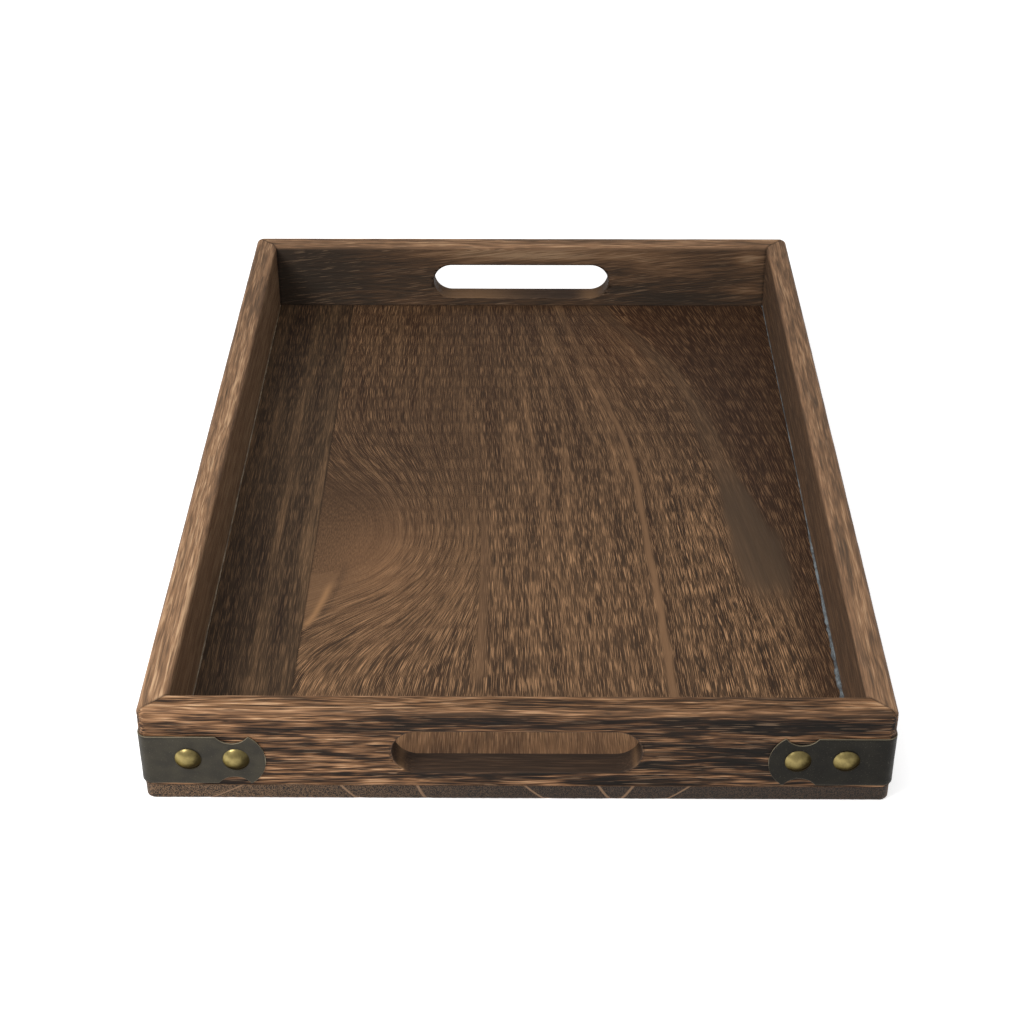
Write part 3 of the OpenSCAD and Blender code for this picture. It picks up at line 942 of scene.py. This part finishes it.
def base_material(name, seed):
    """The floor's torched grain on top, and end grain with growth lines on the front and back."""
    s = Shader(name)
    across, along, _ = s.attribute("grain")
    ridge, end, joint = s.attribute("look")
    fleck, tone, warm = s.attribute("zones")
    band, streak, pale = s.attribute("bands")
    lens_in, crescent, lens_line = s.attribute("lens")
    px, py, pz = s.position()
    broad = s.noise(across / 8, along / 120, seed, detail=2.0)
    middle = s.noise(across / 1.5, along / 70, seed + 3, detail=2.0, rough=0.65)
    lines = s.noise(across / 0.31, along / 12, seed + 7, detail=1.0)
    clumps = s.noise(across / 1.7, along / 16, seed + 11, detail=2.0, rough=0.55)
    steady = s.number("steady")
    moving = 1.0 - steady * 0.95
    ripples = s.noise(px / 0.55, along / 2.6, seed + 31, detail=1.0)
    sheltered = s.step(along + (broad - 0.5) * 60.0 + (middle - 0.5) * 40.0, -158.0, -196.0)
    sheltered = sheltered * s.step(pz, BASE_T - 1.0, BASE_T - 0.3)
    tone = tone + sheltered * 1.1
    warm = warm + sheltered * 0.6
    fleck = fleck * (1.0 - sheltered * 0.4) * (1.0 - steady * 0.85)
    level = (0.38 + ((broad - 0.5) * 1.0 + (middle - 0.5) * 0.7) * moving + tone * 0.28
             + (ridge - 0.5) * fleck * 0.12 + (ripples - 0.5) * steady * 0.6)
    colour = s.ramp(level, (0.0, tint(22, 16, 11)), (0.3, tint(55, 43, 30)), (0.6, tint(103, 79, 56)),
                    (1.0, tint(162, 122, 84)))
    colour = s.mix(warm * 0.35, colour, s.mix(0.5, colour, tint(150, 96, 62)))
    patch = s.step(clumps, 0.45, 0.36) * fleck
    stroke = s.step(lines, 0.53, 0.6) * (1.0 - patch * 0.8) * fleck
    colour = s.paint(
        colour,
        (stroke * (middle * 0.8 + 0.25), tint(180, 138, 100)),
        (s.step(lines, 0.46, 0.37) * fleck * 0.55, tint(40, 31, 23)),
        (patch * 0.45, tint(44, 34, 25)),
        (band * 0.75, tint(78, 62, 47)),
        (streak * 0.65, tint(138, 104, 74)),
        (pale * 0.4, tint(122, 92, 66)),
        (lens_in * 0.55, tint(118, 88, 62)),
        (crescent * 0.7, tint(160, 120, 82)),
        (lens_line * 0.25, tint(52, 40, 32)),
        (joint * 0.45, tint(36, 29, 24)))
    rings = 0.0
    for bottom_x, top_x in RING_LINES:
        line = bottom_x + (top_x - bottom_x) * s.math("POWER", pz / BASE_T, 0.8)
        near = s.step(s.math("ABSOLUTE", px - line), 0.9, 0.25)
        rings = s.math("MAXIMUM", rings, near)
    spots = s.noise(px / 0.34, pz / 0.34, py / 40, detail=1.0)
    # Painted light falloff: the end grain is lighter at the left and darker towards the right, partly the
    # boards' own tone.
    end_painted_falloff = s.mix(s.step(px, -150, 20), tint(112, 86, 62), tint(66, 50, 38))
    end_colour = s.mix(s.step(spots, 0.42, 0.6), tint(22, 17, 13), end_painted_falloff)
    end_colour = s.mix(rings * 0.7, end_colour, tint(138, 108, 82))
    colour = s.mix(end, colour, end_colour)
    s.bump(stroke * 0.5 - patch * 0.4 + middle * 0.25 + spots * end * 0.9, 0.0002, 0.6)
    return s.finish(colour, s.step(lines, 0.3, 0.7, 0.66, 0.52), Specular_IOR_Level=0.2)


def strap_material(name, shade):
    """Antique bronze sheet: mottled and faintly scratched. Its colour is darkened by shade, as painted
    shade for the straps that get less light, and its edges are painted bright, partly as rubbed wear and
    partly as a painted edge highlight.
    """
    s = Shader(name)
    px, py, pz = s.position()
    rub_and_highlight = s.number("rub_and_highlight")
    cloud = s.noise(px / 9, py / 9, pz / 7, detail=4.0)
    speck = s.noise(px / 0.5, py / 0.5, pz / 0.5, detail=2.0)
    brush = s.noise(px / 6, py / 6, pz / 0.25, detail=1.0)
    # Painted shade: shade scales the bronze down, more for the straps that get less light.
    colour = s.mix(s.step(cloud, 0.35, 0.68), [c * shade for c in (0.036, 0.032, 0.025)] + [1],
                   [c * shade for c in (0.048, 0.042, 0.030)] + [1])
    colour = s.paint(
        colour,
        (s.step(speck, 0.62, 0.75) * 0.5, (0.13, 0.115, 0.085, 1)),
        # Painted highlight along the strap's edges, over rubbed wear.
        (s.step(rub_and_highlight + (speck - 0.5) * 0.3, 0.25, 0.75) * 0.6, (0.30, 0.25, 0.17, 1)))
    s.bump(cloud * 0.6 + speck * 0.25 + brush * 0.1, 0.0001, 0.35)
    return s.finish(colour, s.step(cloud + speck * 0.2, 0.4, 0.85, 0.55, 0.42), Metallic=0.3,
                    Specular_IOR_Level=0.12)


def nail_material():
    """Antique brass: polished on the crown and browned towards the rim, with painted shade darkening its
    lower side.
    """
    s = Shader("nail_brass_tarnished_shaded")
    px, py, pz = s.position()
    rim, painted_shade_side = s.number("rim"), s.number("painted_shade_side")
    cloud = s.noise(px / 2.2, py / 2.2, pz / 2.2, detail=4.0, rough=0.6)
    speck = s.noise(px / 0.35, py / 0.35, pz / 0.35, detail=2.0)
    # Tarnish towards the rim and in clouds, plus painted shade on the lower side.
    tarnish_and_shade = s.step(rim * 0.3 + cloud * 0.5 + painted_shade_side * 0.7, -0.3, 0.75)
    colour = s.mix(tarnish_and_shade, (0.38, 0.30, 0.12, 1), (0.03, 0.023, 0.01, 1))
    colour = s.paint(
        colour,
        (s.step(speck, 0.6, 0.72) * 0.35, (0.07, 0.056, 0.03, 1)),
        (s.step(rim, 0.93, 0.99) * 0.6, (0.05, 0.04, 0.025, 1)))
    s.bump(cloud * 0.5 + speck * 0.2, 0.00012, 0.4)
    return s.finish(colour, s.step(tarnish_and_shade + speck * 0.3, 0.2, 1.2, 0.3, 0.5), Metallic=0.85,
                    Specular_IOR_Level=0.1, Specular_Tint=(0.3, 0.24, 0.1, 1))


def brad_material():
    """Galvanised steel: grey spangles, and rings round the shank."""
    s = Shader("brad_galvanised")
    px, py, pz = s.position()
    spangle = s.cells(px / 0.5, py / 0.5, pz / 0.5)
    rings = s.noise(pz / 0.12, 0.0, 0.0, detail=1.0)
    colour = s.mix(s.step(spangle, 0.2, 0.8), (0.42, 0.43, 0.45, 1), (0.62, 0.63, 0.65, 1))
    s.bump(spangle * 0.4 + rings * 0.3, 0.00005, 0.4)
    return s.finish(colour, s.step(spangle, 0.1, 0.8, 0.3, 0.5), Metallic=1.0)


def glue_material(name, pale, deep):
    """Dried glue or filler: lumpy, with dirt in it."""
    s = Shader(name)
    px, py, pz = s.position()
    lumps = s.noise(px / 0.8, py / 1.6, pz / 0.8, detail=3.0)
    dirt = s.noise(px / 3, py / 7, pz / 3, detail=3.0)
    colour = s.mix(s.step(dirt * 0.7 + lumps * 0.4, 0.42, 0.72), deep, pale)
    s.bump(lumps, 0.0002, 0.6)
    return s.finish(colour, s.step(lumps, 0.3, 0.7, 0.3, 0.55), Specular_IOR_Level=0.5)


# ---- stage

# Solved from the photo's straight edges: metres, degrees down, sideways and rolled, and millimetres.
CAMERA_PLACE = (0.00407, -0.83192, 0.55002)
CAMERA_TURN = (33.538, -0.537, -0.142)
CAMERA_LENS, CAMERA_SENSOR = 70.07, 36.0
WORLD_LIGHT = 0.38

FLOOR_REACH = 20.0      # metres, far enough that a low view shows no horizon
FLOOR_GAP = 0.0001      # metres under the tray, so that the floor doesn't share the underside's plane
OPENING_INSET = 5.0     # from the tray's outline in to the floor's opening, in millimetres


def area_light(name, place, target, size, power, colour=(1, 1, 1)):
    data = bpy.data.lights.new(name, "AREA")
    data.shape, data.size, data.energy, data.color = "DISK", size, power, colour
    made = new_object(name, data)
    made.location = place
    direction = Vector(target) - made.location
    made.rotation_euler = direction.to_track_quat("-Z", "Y").to_euler()


def make_camera():
    pitch, yaw, roll = (math.radians(a) for a in CAMERA_TURN)
    forward = Vector((math.sin(yaw) * math.cos(pitch), math.cos(yaw) * math.cos(pitch),
                      -math.sin(pitch)))
    right = Vector((math.cos(yaw), -math.sin(yaw), 0))
    up = right.cross(forward)
    right, up = (math.cos(roll) * right + math.sin(roll) * up,
                 math.cos(roll) * up - math.sin(roll) * right)
    data = bpy.data.cameras.new("camera")
    data.sensor_width, data.lens = CAMERA_SENSOR, CAMERA_LENS
    data.clip_start, data.clip_end = 0.05, 60
    camera = new_object("camera", data)
    turn = Matrix((right, up, -forward)).transposed().to_4x4()
    camera.matrix_world = Matrix.Translation(CAMERA_PLACE) @ turn
    bpy.context.scene.camera = camera


def make_stage():
    scene = bpy.context.scene
    scene.view_settings.view_transform = "Standard"
    world = bpy.data.worlds.new("studio")
    world.use_nodes = True
    background = world.node_tree.nodes["Background"]
    background.inputs[0].default_value = (1, 1, 1, 1)
    background.inputs[1].default_value = WORLD_LIGHT
    scene.world = world
    # The tray covers an opening in the floor, through which its underside shows from below.
    corners = np.array([(-1, -1, 0), (1, -1, 0), (1, 1, 0), (-1, 1, 0)])
    opening = corners * (TRAY_W / 2 - OPENING_INSET, TRAY_L / 2 - OPENING_INSET, 0)
    mesh = new_mesh("floor", np.concatenate([corners * FLOOR_REACH / MM, opening]), tube_faces(0, 2, 4))
    floor = new_object("floor", mesh)
    s = Shader("floor_white")
    mesh.materials.append(s.finish((0.85, 0.85, 0.85, 1), 0.9, Specular_IOR_Level=0.1,
                                   Emission_Color=(1, 1, 1, 1), Emission_Strength=0.6))
    floor.location.z = -FLOOR_GAP
    area_light("key", (-0.50, -0.55, 0.60), (0, -0.12, 0), 0.35, 5.0, (1.0, 0.985, 0.96))
    area_light("top", (-0.1, -0.2, 1.5), (0, 0, 0), 1.2, 8)


# ---- build

make_camera()
make_stage()

half_l, half_w = TRAY_L / 2, TRAY_W / 2
make_rail("front_rail", TRAY_W, half_l, 0,
          RailStyle(11, relief=0.24, upper_calm=0.4, top_tone=0.5, pale_top=0.15, contrast=0.88,
                    outer=(((125, 39), (28, 3.5), -1.3), ((92, 25), (20, 5), -0.9),
                           ((110, 20), (70, 30), -0.6), ((-100, 24), (62, 14), 0.05),
                           ((-100, 40), (50, 5), 0.3), ((0, 40), (75, 5), -0.9),
                           ((10, 11), (70, 4), -0.5)),
                    in_slot=(((-48, 17), (2.2, 2)), ((49, 18), (1.5, 2)))),
          1.0, FRONT_SLOT_Z)
make_rail("back_rail", TRAY_W, half_l, 180,
          RailStyle(23, relief=0.14, upper_calm=0.5, top_tone=0.5, inner_tone=0.0, contrast=0.75,
                    slant=0.13, pale_top=0.7,
                    # On the inner face, the dark patch near the left corner is painted shadow of the left
                    # rail and the bright band along the top middle is painted light; the other patches
                    # are grain.
                    inner=(((125, 26), (35, 30), -1.2), ((-5, 41), (60, 5), 1.9),
                           ((-85, 34), (25, 8), 0.9), ((-132, 38), (9, 5), 1.6),
                           ((-130, 18), (9, 5), 1.2), ((-80, 14), (40, 6), -0.8)),
                    in_slot=(((28, 15), (24, 6)), ((-40, 15), (6, 6)))),
          5.0, BACK_SLOT_Z)
make_rail("left_rail", TRAY_L, half_w, -90,
          RailStyle(37, relief=0.12, top_tone=0.65, inner_tone=1.2, contrast=0.55,
                    outer=(((140, 46), (60, 4), 0.5), ((-150, 46), (80, 4), -0.2))),
          9.0)
make_rail("right_rail", TRAY_L, half_w, 90,
          RailStyle(53, relief=0.12, top_tone=0.5, inner_tone=0.25, contrast=0.55),
          13.0)
make_board("base_board_left", BASE_LOW[0], JOINT_X - JOINT_GAP, -1,
           base_material("base_left_wood", 3.0), 71)
make_board("base_board_right", JOINT_X + JOINT_GAP, BASE_HIGH[0], 1,
           base_material("base_right_wood", 21.0), 83)

# Painted shade: the right straps get a darker copy of the bronze, because the light falls off towards the
# right.
bronze = {-1: strap_material("strap_bronze_left_lit", 0.85), 1: strap_material("strap_bronze_right_shaded", 0.3)}
brass = nail_material()
nail_random = np.random.default_rng(5)
for side_y, end in ((-1, "front"), (1, "back")):
    for side_x, side in ((-1, "left"), (1, "right")):
        make_strap(side_x, side_y, end + "_" + side, bronze[side_x])
        make_nails(side_x, side_y, end + "_" + side, brass, nail_random)

make_bead("glue_bead_left", -1, ((-204, 0.35), (0, 0.45), (204, 0.35)),
          glue_material("glue_tan", tint(150, 134, 112), tint(96, 80, 64)), 91)
make_bead("glue_bead_right", 1,
          ((-204, 1.0), (-160, 1.5), (-100, 1.1), (-40, 0.8), (-20, 0.35), (204, 0.3)),
          glue_material("glue_grey", tint(122, 130, 134), tint(66, 68, 70)), 92)
make_plugs(glue_material("filler_putty", tint(92, 72, 55), tint(58, 44, 34)))

steel = brad_material()
for name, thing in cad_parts.items():
    if "brads" in name:
        thing.data.materials.clear()
        thing.data.materials.append(steel)
